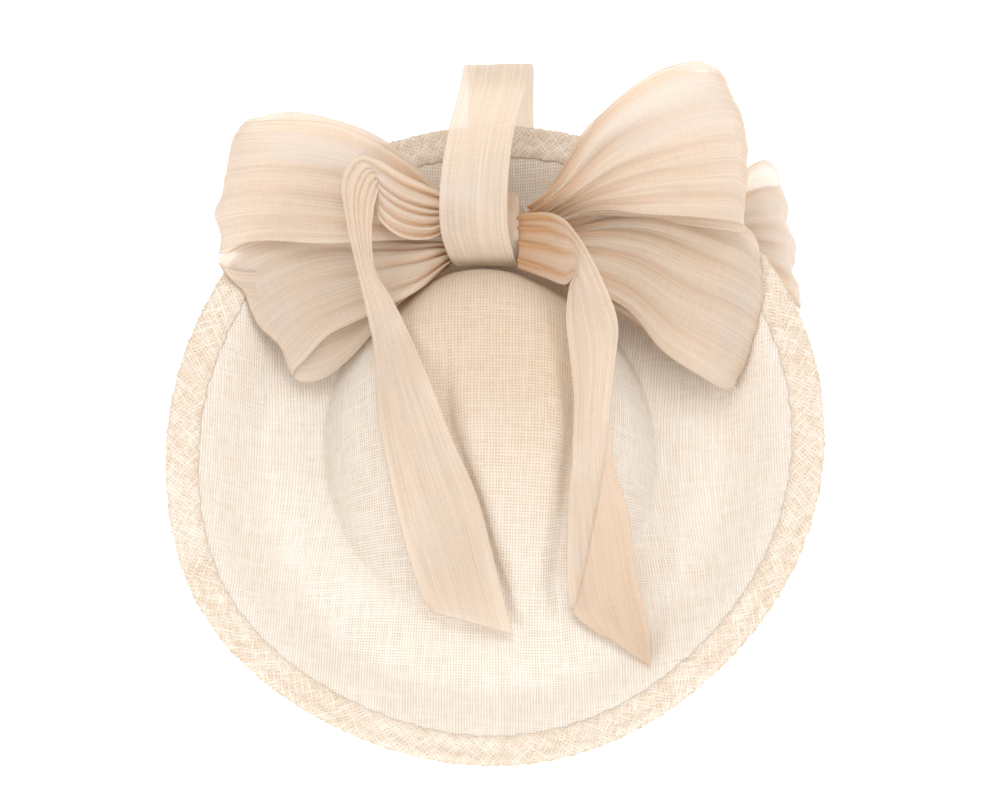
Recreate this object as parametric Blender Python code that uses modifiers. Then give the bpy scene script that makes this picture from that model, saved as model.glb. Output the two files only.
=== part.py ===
"""Disc fascinator: a two-ply sinamay plate with a pinched crown and a silk-abaca ribbon bow.

The frame stands at the centre of the head-size oval, in the plane of the head ribbon's
lower edge: +X to the wearer's left, +Y to the back of the head, +Z up.
All the sizes below are in millimetres and angles in degrees.
"""

import math

import bpy
from mathutils import Matrix, Vector

MM = 0.001

# head-size oval, where the crown meets the brim
HEAD_HALF_WIDTH = 82.5
HEAD_HALF_LENGTH = 99.5
CROWN_TURN = 6.5
CREASE_HEIGHT = 3.0

# crown
CROWN_HEIGHT = 56.0
CROWN_BACK_RISE = 0.25
# how full the dome's profile is and how it meets the crease: at the sides, change at the back, at the front
DOME_FULLNESS = (3.0, 3.5, -1.4)
DOME_FOOT = (0.85, 0.75, 0.15)
RIDGE_OFFSET = 10.5
RIDGE_HALF_WIDTH_FRONT = 13.0
RIDGE_HALF_WIDTH_BACK = 31.0
PINCH_DEPTH = 9.0
# along the head: where the ridge starts to widen and over what length, and where the pinch fades at either end
RIDGE_WIDENING = (-80.0, 75.0)
PINCH_BACK = (50.0, -30.0)
PINCH_FRONT = (-102.0, -72.0)
PINCH_RIDGE_SIDE = 5.0
PINCH_OUTER_SIDE = 11.0

# plate edge
PLATE_CENTRE = (3.2, -3.6)
PLATE_HALF_WIDTH = 163.7
PLATE_HALF_LENGTH = 174.6
RIM_HEIGHT = 22.5
RIM_SIDE_LIFT = 5.5
RIM_BACK_LIFT = 3.0
# share of the rim's height reached evenly, and the part of the brim over which the rest is turned up
BRIM_EVEN_LIFT = 0.22
BRIM_TURN_UP = (0.38, 0.93)
# local swells of the edge: (direction, spread, share of the radius)
RIM_SWELLS = ((213.0, 24.0, 0.045), (150.0, 22.0, -0.02), (310.0, 26.0, -0.018))

# cloth, wire and binding
PLY = 0.7
PLY_GAP = 0.4
WIRE_RADIUS = 0.6
WIRE_REACH = 1.7
JOINER_RADIUS = 1.2
JOINER_BORE = 0.9
JOINER_LENGTH = 12.0
BINDING_WIDTH = 16.0
BINDING_FOLD = 4.0
BINDING_CLOTH = 0.7
BINDING_EASE = 0.35
# the fold round the wire: reach beyond the cloth's edge and half height of its shoulder and its bend
BINDING_SHOULDER = (WIRE_REACH, 1.7)
BINDING_BEND = (WIRE_REACH + 1.2, 1.1)

# head ribbon and comb
HEAD_RIBBON_THICKNESS = 0.8
HEAD_RIBBON_INSET = 2.1
HEAD_RIBBON_SHARES = (0.965, 0.91, 0.85)
COMB_WIDTH = 62.0
COMB_TEETH = 20
COMB_TOOTH_LENGTH = 36.0
COMB_SPINE = 5.0
COMB_THICKNESS = 1.6
# each tooth as shares of the pitch: where its root starts, its root's width, and its tip's two sides from there
TOOTH_START = 0.2
TOOTH_ROOT = 0.6
TOOTH_TIP = (0.15, 0.45)
COMB_PLACE = (13.9, -68.9, 4.6)
ELASTIC_LOOP_RADIUS = 3.5
ELASTIC_THREAD = 0.6
ELASTIC_LOOP_INSET = 9.0
ELASTIC_LOOP_HEIGHT = 6.0

# bow
KNOT_CENTRE = (0.0, 107.0, 40.0)
KNOT_HALF = (19.0, 17.0, 12.0)
WRAP_HALF = (14.0, 18.5, 14.5)
WRAP_STEPS = 24
BASE_CENTRE = (0.0, 102.0, 16.0)
BASE_HALF = (17.0, 9.0)
BASE_THICKNESS = 2.4
BASE_TILT = -35.0
RIBBON = 0.8
TAIL_CAMBER = 2.5

# mesh steps
AROUND = 48
CROWN_RINGS = (0.13, 0.27, 0.41, 0.54, 0.66, 0.77, 0.86, 0.93, 1.0)
BRIM_RINGS = (0.16, 0.36, 0.54, 0.7)
EDGE_RINGS = (BINDING_WIDTH, BINDING_WIDTH / 2, 0.0)
RIBBON_ALONG = 2
RIBBON_ACROSS = 4

# Ribbon strips. Each line is one place along the strip: its two edges, as (x, y, z).
CENTRE_LOOP = (
    ((-17, 85, 41), (14, 85, 41)),
    ((-21, 86, 51), (12, 86, 51)),
    ((-25, 97, 61), (9, 97, 61)),
    ((-25, 118, 68), (9, 118, 69)),
    ((-21, 142, 77), (12, 142, 78)),
    ((-15, 165, 82), (18, 165, 83)),
    ((-13, 181, 73), (20, 181, 74)),
    ((-11, 187, 57), (22, 187, 57)),
    ((-11, 185, 38), (22, 185, 38)),
    ((-11, 180, 22), (22, 180, 22)),
    ((-11, 170, 12), (22, 170, 12)),
    ((-11, 160, 8), (22, 160, 8)),
)
LEFT_UPPER_LOOP = (
    ((-20, 114, 49), (-20, 97, 47)),
    ((-40, 133, 58), (-49, 95, 49)),
    ((-72, 152, 62), (-82, 94, 47)),
    ((-100, 158, 59), (-114, 98, 43)),
    ((-118, 160, 53), (-134, 95, 41)),
    ((-124, 162, 46), (-137, 93, 38)),
    ((-117, 169, 39), (-129, 96, 34)),
    ((-95, 173, 37), (-102, 102, 33)),
    ((-59, 160, 40), (-70, 106, 34)),
    ((-35, 138, 42), (-44, 106, 35)),
    ((-20, 117, 42), (-20, 100, 40)),
)
LEFT_LOWER_LOOP = (
    ((-20, 95, 43), (-20, 86, 42)),
    ((-36, 90, 45), (-33, 67, 57)),
    ((-62, 96, 41), (-50, 56, 58)),
    ((-88, 97, 39), (-68, 54, 40)),
    ((-110, 93, 38), (-82, 51, 29)),
    ((-126, 88, 41), (-93, 41, 22)),
    ((-134, 84, 39), (-97, 37, 17)),
    ((-125, 82, 36), (-93, 34, 14)),
    ((-104, 85, 29), (-83, 34, 17)),
    ((-80, 90, 22), (-68, 40, 31)),
    ((-54, 94, 23), (-50, 52, 51)),
    ((-38, 94, 27), (-36, 66, 51)),
    ((-20, 96, 34), (-20, 88, 34)),
)
LEFT_TAIL = (
    ((-16, 114, 57), (-16, 102, 57)),
    ((-29, 119, 60), (-29, 94, 54)),
    ((-44, 124, 66), (-44, 92, 59)),
    ((-56, 129, 72), (-56, 101, 64)),
    ((-67, 130, 74), (-55, 114, 70)),
    ((-74, 119, 70), (-58, 103, 70)),
    ((-72, 99, 66), (-59, 87, 66)),
    ((-67, 75, 63), (-57, 71, 64)),
    ((-62, 52, 61), (-50, 58, 64)),
    ((-58, 32, 54), (-42, 41, 63)),
    ((-56, 0, 52), (-30, 10, 66)),
    ((-51, -29, 47), (-19, -17, 56)),
    ((-43, -61, 31), (-6, -43, 41)),
    ((-35, -82, 16), (3, -72, 21)),
    ((-30, -90, 9), (12, -104, 10)),
)
RIGHT_TAIL = (
    ((17, 108, 56), (18, 82, 54)),
    ((27, 105, 60), (28, 77, 55)),
    ((35, 99, 65), (36, 79, 60)),
    ((41, 93, 67), (37, 82, 66)),
    ((49, 81, 67), (38, 66, 67)),
    ((58, 62, 65), (38, 44, 67)),
    ((64, 43, 62), (40, 23, 64)),
    ((63, 20, 58), (42, 2, 60)),
    ((56, -3, 54), (42, -18, 54)),
    ((50, -23, 49), (41, -36, 47)),
    ((55, -36, 45), (39, -50, 33)),
    ((65, -50, 38), (38, -67, 22)),
    ((73, -78, 26), (39, -85, 12)),
    ((79, -104, 18), (43, -93, 9)),
    ((80, -125, 19), (54, -102, 9)),
)
RIGHT_UPPER_LOOP = (
    ((20, 114, 49), (20, 98, 49)),
    ((34, 124, 60), (50, 108, 57)),
    ((55, 152, 76), (80, 102, 65)),
    ((80, 171, 82), (110, 101, 63)),
    ((101, 181, 77), (127, 102, 57)),
    ((112, 181, 69), (131, 99, 51)),
    ((108, 184, 59), (126, 100, 47)),
    ((85, 184, 55), (105, 105, 46)),
    ((50, 160, 50), (75, 110, 46)),
    ((30, 127, 45), (45, 109, 46)),
    ((20, 116, 43), (20, 100, 43)),
)
RIGHT_LOWER_LOOP = (
    ((20, 95, 43), (20, 86, 41)),
    ((50, 105, 42), (42, 74, 45)),
    ((80, 107, 42), (68, 62, 38)),
    ((110, 104, 41), (86, 41, 33)),
    ((130, 100, 41), (110, 26, 30)),
    ((138, 92, 40), (122, 24, 22)),
    ((132, 86, 36), (121, 30, 14)),
    ((105, 93, 34), (95, 46, 14)),
    ((75, 95, 33), (71, 62, 24)),
    ((48, 94, 35), (46, 74, 33)),
    ((20, 96, 36), (20, 88, 34)),
)
RIGHT_BACK_LOOP = (
    ((98, 132, 14), (110, 98, 11)),
    ((120, 142, 20), (133, 92, 17)),
    ((137, 150, 28), (149, 80, 21)),
    ((146, 144, 30), (154, 74, 19)),
    ((147, 138, 24), (155, 74, 14)),
    ((140, 140, 18), (148, 82, 11)),
    ((122, 138, 12), (131, 92, 8)),
    ((99, 128, 8), (109, 100, 6)),
)


def smooth_step(low, high, value):
    """Share from 0 at low to 1 at high, with level ends."""
    share = min(max((value - low) / (high - low), 0.0), 1.0)
    return share * share * (3.0 - 2.0 * share)


def turned(u, v):
    """The crown's own axes to the plate's axes."""
    angle = math.radians(CROWN_TURN)
    return u * math.cos(angle) - v * math.sin(angle), u * math.sin(angle) + v * math.cos(angle)


def dome_height(p, q):
    """Crown height before the pinch; p and q are shares of the oval's half width and half length."""
    reach = min(math.hypot(p, q), 1.0)
    along = q / max(reach, 1e-6)
    back = max(along, 0.0) ** 2
    front = max(-along, 0.0) ** 2
    fullness = DOME_FULLNESS[0] + DOME_FULLNESS[1] * back + DOME_FULLNESS[2] * front
    foot = DOME_FOOT[0] + DOME_FOOT[1] * back + DOME_FOOT[2] * front
    return CROWN_HEIGHT * (1.0 - reach**fullness) ** foot * (1.0 + CROWN_BACK_RISE * q)


def pinch_depth(u, v):
    """Depth of the two pinched folds that leave the ridge standing between them."""
    widening = min(max((v - RIDGE_WIDENING[0]) / RIDGE_WIDENING[1], 0.0), 1.0)
    half_width = RIDGE_HALF_WIDTH_FRONT + (RIDGE_HALF_WIDTH_BACK - RIDGE_HALF_WIDTH_FRONT) * widening
    depth = PINCH_DEPTH * smooth_step(*PINCH_BACK, v) * smooth_step(*PINCH_FRONT, v)
    off = abs(u - RIDGE_OFFSET) - half_width
    spread = PINCH_RIDGE_SIDE if off < 0.0 else PINCH_OUTER_SIDE
    return depth * math.exp(-((off / spread) ** 2))


def crown_point(angle, share):
    """Point of the blocked crown; share is 0 at its centre and 1 at the head-size oval."""
    p = share * math.cos(angle)
    q = share * math.sin(angle)
    u = p * HEAD_HALF_WIDTH
    v = q * HEAD_HALF_LENGTH
    x, y = turned(u, v)
    rise = max(dome_height(p, q) - pinch_depth(u, v), 0.0)
    return Vector((x, y, CREASE_HEIGHT + rise))


def rim_point(direction):
    """Outermost point of the bound edge in a direction from the plate's centre."""
    c = math.cos(direction)
    s = math.sin(direction)
    radius = 1.0 / math.hypot(c / PLATE_HALF_WIDTH, s / PLATE_HALF_LENGTH)
    degrees = math.degrees(direction) % 360.0
    for middle, spread, share in RIM_SWELLS:
        radius *= 1.0 + share * math.exp(-(((degrees - middle) / spread) ** 2))
    height = RIM_HEIGHT + RIM_SIDE_LIFT * math.cos(2.0 * direction) + RIM_BACK_LIFT * s
    return Vector((PLATE_CENTRE[0] + radius * c, PLATE_CENTRE[1] + radius * s, CREASE_HEIGHT + height))


def brim_ends(angle):
    """The crease point and the cloth's edge point on one ray of the brim."""
    crease = crown_point(angle, 1.0)
    direction = math.atan2(crease.y - PLATE_CENTRE[1], crease.x - PLATE_CENTRE[0])
    edge = rim_point(direction)
    ray = (edge - crease).to_2d().normalized() * BINDING_FOLD
    return crease, Vector((edge.x - ray.x, edge.y - ray.y, edge.z))


def brim_point(angle, share):
    """Point of the brim; share is 0 at the crease and 1 at the cloth's edge."""
    crease, edge = brim_ends(angle)
    point = crease.lerp(edge, share)
    lift = BRIM_EVEN_LIFT * share + (1.0 - BRIM_EVEN_LIFT) * smooth_step(*BRIM_TURN_UP, share)
    point.z = CREASE_HEIGHT + (edge.z - CREASE_HEIGHT) * lift
    return point


def edge_point(angle, distance):
    """Point of the brim at a distance in from the cloth's edge."""
    crease, edge = brim_ends(angle)
    width = (edge - crease).to_2d().length
    return brim_point(angle, 1.0 - distance / width)


def edge_frame(angle, distance):
    """Point near the cloth's edge with its outward and upward directions."""
    point = edge_point(angle, distance)
    outward = (edge_point(angle, max(distance - 1.0, 0.0)) - edge_point(angle, distance + 1.0)).normalized()
    around = edge_point(angle + 0.02, distance) - edge_point(angle - 0.02, distance)
    return point, outward, outward.cross(around).normalized()


def crown_normal(angle, share):
    """Outward direction of the crown."""
    step = 0.01
    inward = crown_point(angle, share - step) - crown_point(angle, share)
    around = crown_point(angle + step, share) - crown_point(angle - step, share)
    return around.cross(inward).normalized()


def new_material(name, colour, roughness, metallic=0.0):
    material = bpy.data.materials.new(name)
    material.use_nodes = True
    shader = material.node_tree.nodes["Principled BSDF"]
    shader.inputs["Base Color"].default_value = (*colour, 1.0)
    shader.inputs["Roughness"].default_value = roughness
    shader.inputs["Metallic"].default_value = metallic
    return material


def add_mesh(name, vertices, faces, material, edges=()):
    """A named object from points in millimetres."""
    mesh = bpy.data.meshes.new(name)
    mesh.from_pydata([Vector(v) * MM for v in vertices], list(edges), faces)
    mesh.validate()
    mesh.materials.append(material)
    mesh.shade_smooth()
    item = bpy.data.objects.new(name, mesh)
    parts.objects.link(item)
    return item


def grid_faces(rows, columns, wrap_rows=False, wrap_columns=False):
    """Quads over a grid of points stored row by row."""
    faces = []
    for i in range(rows if wrap_rows else rows - 1):
        for j in range(columns if wrap_columns else columns - 1):
            k = (i + 1) % rows
            m = (j + 1) % columns
            faces.append((i * columns + j, i * columns + m, k * columns + m, k * columns + j))
    return faces


def solidify(item, thickness, offset):
    shell = item.modifiers.new("thickness", "SOLIDIFY")
    shell.thickness = thickness * MM
    shell.offset = offset
    return item


def displace(item, distance):
    shift = item.modifiers.new("stand off", "DISPLACE")
    shift.mid_level = 0.0
    shift.strength = distance * MM
    return item


def ray_angles():
    return [math.tau * k / AROUND for k in range(AROUND)]


def blocked_cloth(name, material):
    """The blocked surface, crown and brim in one, as an open sheet."""
    points = [crown_point(0.0, 0.0)]
    for share in CROWN_RINGS:
        points += [crown_point(angle, share) for angle in ray_angles()]
    for share in BRIM_RINGS:
        points += [brim_point(angle, share) for angle in ray_angles()]
    for distance in EDGE_RINGS:
        points += [edge_point(angle, distance) for angle in ray_angles()]
    rings = len(CROWN_RINGS) + len(BRIM_RINGS) + len(EDGE_RINGS)
    faces = [(0, 1 + k, 1 + (k + 1) % AROUND) for k in range(AROUND)]
    for face in grid_faces(rings, AROUND, wrap_columns=True):
        faces.append(tuple(1 + index for index in reversed(face)))
    return add_mesh(name, points, faces, material)


def sinamay_ply(name, side, material):
    """One ply: it stands off the middle surface and thickens away from it."""
    item = displace(blocked_cloth(name, material), side * PLY_GAP / 2)
    return solidify(item, PLY, side)


def rim_wire(material):
    """Edge wire laid round the brim, its two ends meeting inside the joiner."""
    angles = ray_angles()
    points = []
    for angle in angles:
        point, outward, _ = edge_frame(angle, 0.0)
        points.append(point + outward * WIRE_REACH)
    joint = points[-1].lerp(points[0], 0.5)
    along = (points[0] - points[-1]).normalized()
    points = [joint + along * 0.3] + points + [joint - along * 0.3]
    curve = bpy.data.curves.new("rim_wire", "CURVE")
    curve.dimensions = "3D"
    spline = curve.splines.new("POLY")
    spline.points.add(len(points) - 1)
    for place, point in zip(spline.points, points):
        place.co = (*(point * MM), 1.0)
    curve.bevel_depth = WIRE_RADIUS * MM
    curve.bevel_resolution = 1
    curve.use_fill_caps = True
    curve.materials.append(material)
    item = bpy.data.objects.new("rim_wire", curve)
    parts.objects.link(item)
    return joint, along


def wire_joiner(joint, along, material):
    """Short crimp tube over the ends of the edge wire."""
    half = JOINER_LENGTH / 2
    profile = [(JOINER_RADIUS, half), (JOINER_RADIUS, -half), (JOINER_BORE, -half), (JOINER_BORE, half)]
    outline = [(0, 1), (1, 2), (2, 3), (3, 0)]
    item = add_mesh("wire_joiner", [(r, 0.0, z) for r, z in profile], [], material, outline)
    turn = item.modifiers.new("turn", "SCREW")
    turn.steps = 16
    turn.render_steps = 16
    turn.use_merge_vertices = True
    turn.merge_threshold = 0.00001
    item.matrix_world = Matrix.Translation(joint * MM) @ along.to_track_quat("Z", "Y").to_matrix().to_4x4()
    return item


def binding_section(angle):
    """U-shaped section of the bias binding on one ray, outer face first, then back along the inner face."""
    stack = PLY + PLY_GAP / 2
    inner = stack + BINDING_EASE
    faces = []
    for cloth in (BINDING_CLOTH, 0.0):
        heights = (inner + cloth, inner + cloth, inner + cloth + 0.1)
        shoulder = (BINDING_SHOULDER[0], BINDING_SHOULDER[1] + cloth)
        bend = (BINDING_BEND[0] + cloth * 0.7, BINDING_BEND[1] + cloth * 0.5)
        fold = (shoulder, bend, (BINDING_FOLD - BINDING_CLOTH + cloth, 0.0))
        upper = []
        for distance, height in zip(EDGE_RINGS, heights):
            point, _, normal = edge_frame(angle, distance)
            upper.append((point, normal, height))
        point, outward, normal = edge_frame(angle, 0.0)
        path = [p + n * h for p, n, h in upper]
        path += [point + outward * reach + normal * height for reach, height in fold]
        path += [point + outward * reach - normal * height for reach, height in fold[1::-1]]
        path += [p - n * h for p, n, h in reversed(upper)]
        faces.append(path)
    return faces[0] + faces[1][::-1]


def rim_binding(material):
    sections = [binding_section(angle) for angle in ray_angles()]
    count = len(sections[0])
    points = [point for section in sections for point in section]
    faces = grid_faces(AROUND, count, wrap_rows=True, wrap_columns=True)
    return add_mesh("rim_binding", points, faces, material)


def head_ribbon(material):
    """Woven band sewn flat against the inside of the crown; its lower edge is what the hat stands on."""
    rows = []
    for share in HEAD_RIBBON_SHARES:
        rows.append([crown_point(angle, share) - crown_normal(angle, share) * HEAD_RIBBON_INSET
                     for angle in ray_angles()])
    foot = [Vector((point.x, point.y, 0.0)) for point in rows[0]]
    points = [point for row in [foot] + rows for point in row]
    item = add_mesh("head_ribbon", points, grid_faces(4, AROUND, wrap_columns=True), material)
    return solidify(item, HEAD_RIBBON_THICKNESS, 0.0)


def hair_comb(material):
    """Flat comb: a spine with tapered teeth, one sheet with a thickness."""
    pitch = COMB_WIDTH / COMB_TEETH
    starts = [-COMB_WIDTH / 2 + (k + TOOTH_START) * pitch for k in range(COMB_TEETH)]
    stops = [x for start in starts for x in (start, start + TOOTH_ROOT * pitch)]
    stops = [-COMB_WIDTH / 2] + stops + [COMB_WIDTH / 2]
    points = [(x, -COMB_SPINE, 0.0) for x in stops] + [(x, 0.0, 0.0) for x in stops]
    count = len(stops)
    faces = [(k, k + 1, count + k + 1, count + k) for k in range(count - 1)]
    for k, start in enumerate(starts):
        root = count + 1 + 2 * k
        tip = len(points)
        points += [(start + share * pitch, COMB_TOOTH_LENGTH, 0.0) for share in TOOTH_TIP]
        faces.append((root, root + 1, tip + 1, tip))
    item = add_mesh("hair_comb", points, faces, material)
    item.location = Vector(COMB_PLACE) * MM
    item.rotation_euler.z = math.radians(CROWN_TURN)
    return solidify(item, COMB_THICKNESS, 0.0)


def elastic_loop(name, side, material):
    """Stitched thread loop inside the crown, for a hat elastic."""
    bpy.ops.mesh.primitive_torus_add(major_radius=ELASTIC_LOOP_RADIUS * MM, minor_radius=ELASTIC_THREAD * MM,
                                     major_segments=16, minor_segments=6)
    item = bpy.context.object
    x, y = turned(side * (HEAD_HALF_WIDTH - ELASTIC_LOOP_INSET), 0.0)
    item.location = Vector((x, y, ELASTIC_LOOP_HEIGHT)) * MM
    item.rotation_euler = (0.0, math.radians(90.0), math.radians(CROWN_TURN))
    return adopt(item, name, material)


def adopt(item, name, material):
    """Give a primitive its name, material and collection."""
    item.name = name
    item.data.name = name
    item.data.materials.append(material)
    item.data.shade_smooth()
    for group in list(item.users_collection):
        group.objects.unlink(item)
    parts.objects.link(item)
    return item


def knot_core(material):
    """The gathered middle of the bow, drawn through the wrap."""
    bpy.ops.mesh.primitive_uv_sphere_add(segments=20, ring_count=10, radius=MM)
    item = adopt(bpy.context.object, "knot_core", material)
    item.data.transform(Matrix.Diagonal((*KNOT_HALF, 1.0)))
    item.location = Vector(KNOT_CENTRE) * MM
    return item


def knot_wrap(material):
    """Band wound once round the middle of the bow."""
    half_width, half_depth, half_height = WRAP_HALF
    points = []
    for k in range(WRAP_STEPS):
        angle = math.tau * k / WRAP_STEPS
        y = KNOT_CENTRE[1] + half_depth * math.cos(angle)
        z = KNOT_CENTRE[2] + half_height * math.sin(angle)
        points += [(x, y, z) for x in (-half_width, 0.0, half_width)]
    item = add_mesh("knot_wrap", points, grid_faces(WRAP_STEPS, 3, wrap_rows=True), material)
    return solidify(item, RIBBON, 0.0)


def bow_base(material):
    """Stiffened oval pad that the bow is sewn to, at the foot of the crown's back."""
    bpy.ops.mesh.primitive_cylinder_add(vertices=24, radius=MM, depth=BASE_THICKNESS * MM)
    item = adopt(bpy.context.object, "bow_base", material)
    item.data.transform(Matrix.Diagonal((*BASE_HALF, 1.0, 1.0)))
    item.location = Vector(BASE_CENTRE) * MM
    item.rotation_euler.x = math.radians(BASE_TILT)
    return item


def curve_through(values, share):
    """Smooth curve through all the values, read at a share of its length."""
    last = len(values) - 1
    place = min(share * last, last - 1e-9)
    k = int(place)
    t = place - k
    a = values[max(k - 1, 0)]
    b = values[k]
    c = values[k + 1]
    d = values[min(k + 2, last)]
    return 0.5 * (2.0 * b + (c - a) * t + (2.0 * a - 5.0 * b + 4.0 * c - d) * t**2
                  + (3.0 * b - a - 3.0 * c + d) * t**3)


def ribbon(name, places, material, camber=0.0):
    """A ribbon strip lofted between its two edges; its middle rises by the camber."""
    first = [Vector(place[0]) for place in places]
    second = [Vector(place[1]) for place in places]
    rows = (len(places) - 1) * RIBBON_ALONG + 1
    points = []
    for i in range(rows):
        share = i / (rows - 1)
        start = curve_through(first, share)
        end = curve_through(second, share)
        for j in range(RIBBON_ACROSS + 1):
            across = j / RIBBON_ACROSS
            rise = Vector((0.0, 0.0, 4.0 * camber * across * (1.0 - across)))
            points.append(start.lerp(end, across) + rise)
    item = add_mesh(name, points, grid_faces(rows, RIBBON_ACROSS + 1), material)
    return solidify(item, RIBBON, 0.0)


for old in list(bpy.data.objects):
    bpy.data.objects.remove(old, do_unlink=True)

parts = bpy.data.collections.new("fascinator")
bpy.context.scene.collection.children.link(parts)

sinamay = new_material("sinamay", (0.87, 0.78, 0.65), 0.75)
lining = new_material("sinamay lining", (0.83, 0.73, 0.60), 0.8)
bias = new_material("bias sinamay", (0.84, 0.72, 0.58), 0.75)
silk = new_material("silk abaca", (0.85, 0.71, 0.56), 0.45)
petersham = new_material("petersham", (0.86, 0.80, 0.70), 0.8)
steel = new_material("wire", (0.75, 0.75, 0.74), 0.35, 1.0)
plastic = new_material("clear plastic", (0.85, 0.82, 0.76), 0.25)
thread = new_material("thread", (0.90, 0.84, 0.74), 0.7)

sinamay_ply("outer_ply", 1.0, sinamay)
sinamay_ply("inner_ply", -1.0, lining)
wire_joiner(*rim_wire(steel), steel)
rim_binding(bias)
head_ribbon(petersham)
hair_comb(plastic)
elastic_loop("elastic_loop_left", -1.0, thread)
elastic_loop("elastic_loop_right", 1.0, thread)
bow_base(lining)
knot_core(silk)
knot_wrap(silk)
ribbon("centre_loop", CENTRE_LOOP, silk)
ribbon("left_upper_loop", LEFT_UPPER_LOOP, silk)
ribbon("left_lower_loop", LEFT_LOWER_LOOP, silk)
ribbon("left_tail", LEFT_TAIL, silk, TAIL_CAMBER)
ribbon("right_tail", RIGHT_TAIL, silk, TAIL_CAMBER)
ribbon("right_upper_loop", RIGHT_UPPER_LOOP, silk)
ribbon("right_lower_loop", RIGHT_LOWER_LOOP, silk)
ribbon("right_back_loop", RIGHT_BACK_LOOP, silk)
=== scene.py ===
import math

import bmesh
import bpy
import numpy as np
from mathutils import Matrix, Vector


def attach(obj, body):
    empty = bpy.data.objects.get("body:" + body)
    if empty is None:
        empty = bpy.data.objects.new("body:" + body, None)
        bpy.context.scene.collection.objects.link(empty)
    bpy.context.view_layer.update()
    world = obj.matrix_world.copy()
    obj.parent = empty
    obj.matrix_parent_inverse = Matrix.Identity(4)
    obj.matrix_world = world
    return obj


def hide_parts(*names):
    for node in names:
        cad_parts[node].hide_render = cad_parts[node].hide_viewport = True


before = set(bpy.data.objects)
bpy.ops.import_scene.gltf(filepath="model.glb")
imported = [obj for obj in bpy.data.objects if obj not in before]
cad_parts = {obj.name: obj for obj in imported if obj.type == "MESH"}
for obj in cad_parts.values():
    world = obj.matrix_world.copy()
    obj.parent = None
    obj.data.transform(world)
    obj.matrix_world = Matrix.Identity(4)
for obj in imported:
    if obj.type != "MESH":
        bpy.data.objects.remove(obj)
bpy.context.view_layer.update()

SCENE = bpy.context.scene
MM = 0.001

# ---------------------------------------------------------------- sizes of the blocked plate, in millimetres

HEAD_HALF_WIDTH = 82.5
HEAD_HALF_LENGTH = 99.5
CROWN_TURN = math.radians(6.5)
CREASE_HEIGHT = 3.0
CROWN_HEIGHT = 56.0
CROWN_BACK_RISE = 0.25
RIDGE_OFFSET = 10.5
RIDGE_HALF_WIDTH_FRONT = 13.0
RIDGE_HALF_WIDTH_BACK = 31.0
PINCH_DEPTH = 9.0
PLATE_CENTRE = (3.2, -3.6)
PLATE_HALF_WIDTH = 163.7
PLATE_HALF_LENGTH = 174.6
RIM_HEIGHT = 22.5
RIM_SIDE_LIFT = 5.5
RIM_BACK_LIFT = 3.0
RIM_SWELLS = ((213.0, 24.0, 0.045), (150.0, 22.0, -0.02), (310.0, 26.0, -0.018))
BINDING_WIDTH = 16.0
BINDING_FOLD = 4.0

PLATE_AROUND = 360
CROWN_STEPS = 70
BRIM_STEPS = 52

# ---------------------------------------------------------------- sheets as arrays of points


def smooth_step(low, high, value):
    share = np.clip((value - low) / (high - low), 0.0, 1.0)
    return share * share * (3.0 - 2.0 * share)


def crown_surface(angle, share):
    """Points of the blocked crown; share runs from 0 at its centre to 1 at the head-size oval."""
    p = share * np.cos(angle)
    q = share * np.sin(angle)
    along = np.sin(angle) + 0.0 * share
    back = np.maximum(along, 0.0) ** 2
    front = np.maximum(-along, 0.0) ** 2
    fullness = 3.0 + 3.5 * back - 1.4 * front
    foot = 0.85 + 0.75 * back + 0.15 * front
    inside = np.clip(1.0 - share**fullness, 0.0, 1.0)
    dome = CROWN_HEIGHT * inside**foot * (1.0 + CROWN_BACK_RISE * q)
    u = p * HEAD_HALF_WIDTH
    v = q * HEAD_HALF_LENGTH
    widening = np.clip((v + 80.0) / 75.0, 0.0, 1.0)
    half_width = RIDGE_HALF_WIDTH_FRONT + (RIDGE_HALF_WIDTH_BACK - RIDGE_HALF_WIDTH_FRONT) * widening
    depth = PINCH_DEPTH * smooth_step(50.0, -30.0, v) * smooth_step(-102.0, -72.0, v)
    off = np.abs(u - RIDGE_OFFSET) - half_width
    spread = np.where(off < 0.0, 5.0, 11.0)
    rise = np.maximum(dome - depth * np.exp(-((off / spread) ** 2)), 0.0)
    x = u * math.cos(CROWN_TURN) - v * math.sin(CROWN_TURN)
    y = u * math.sin(CROWN_TURN) + v * math.cos(CROWN_TURN)
    return np.stack([x, y, CREASE_HEIGHT + rise], axis=-1)


def rim_edge(direction):
    c = np.cos(direction)
    s = np.sin(direction)
    radius = 1.0 / np.hypot(c / PLATE_HALF_WIDTH, s / PLATE_HALF_LENGTH)
    degrees = np.degrees(direction) % 360.0
    for middle, spread, share in RIM_SWELLS:
        radius = radius * (1.0 + share * np.exp(-(((degrees - middle) / spread) ** 2)))
    height = RIM_HEIGHT + RIM_SIDE_LIFT * np.cos(2.0 * direction) + RIM_BACK_LIFT * s
    x = PLATE_CENTRE[0] + radius * c
    y = PLATE_CENTRE[1] + radius * s
    return np.stack([x, y, CREASE_HEIGHT + height], axis=-1)


def brim_surface(angle, share):
    """Points of the brim; share runs from 0 at the crease to 1 at the cloth's edge, inside the binding."""
    crease = crown_surface(angle, np.ones_like(angle))
    direction = np.arctan2(crease[..., 1] - PLATE_CENTRE[1], crease[..., 0] - PLATE_CENTRE[0])
    edge = rim_edge(direction)
    ray = edge[..., :2] - crease[..., :2]
    ray = ray / np.linalg.norm(ray, axis=-1, keepdims=True)
    edge = edge - np.concatenate([ray * BINDING_FOLD, np.zeros_like(ray[..., :1])], axis=-1)
    share = share[..., None]
    points = crease + (edge - crease) * share
    lift = 0.22 * share + 0.78 * smooth_step(0.38, 0.93, share)
    points[..., 2:] = CREASE_HEIGHT + (edge[..., 2:] - CREASE_HEIGHT) * lift
    return points


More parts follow.
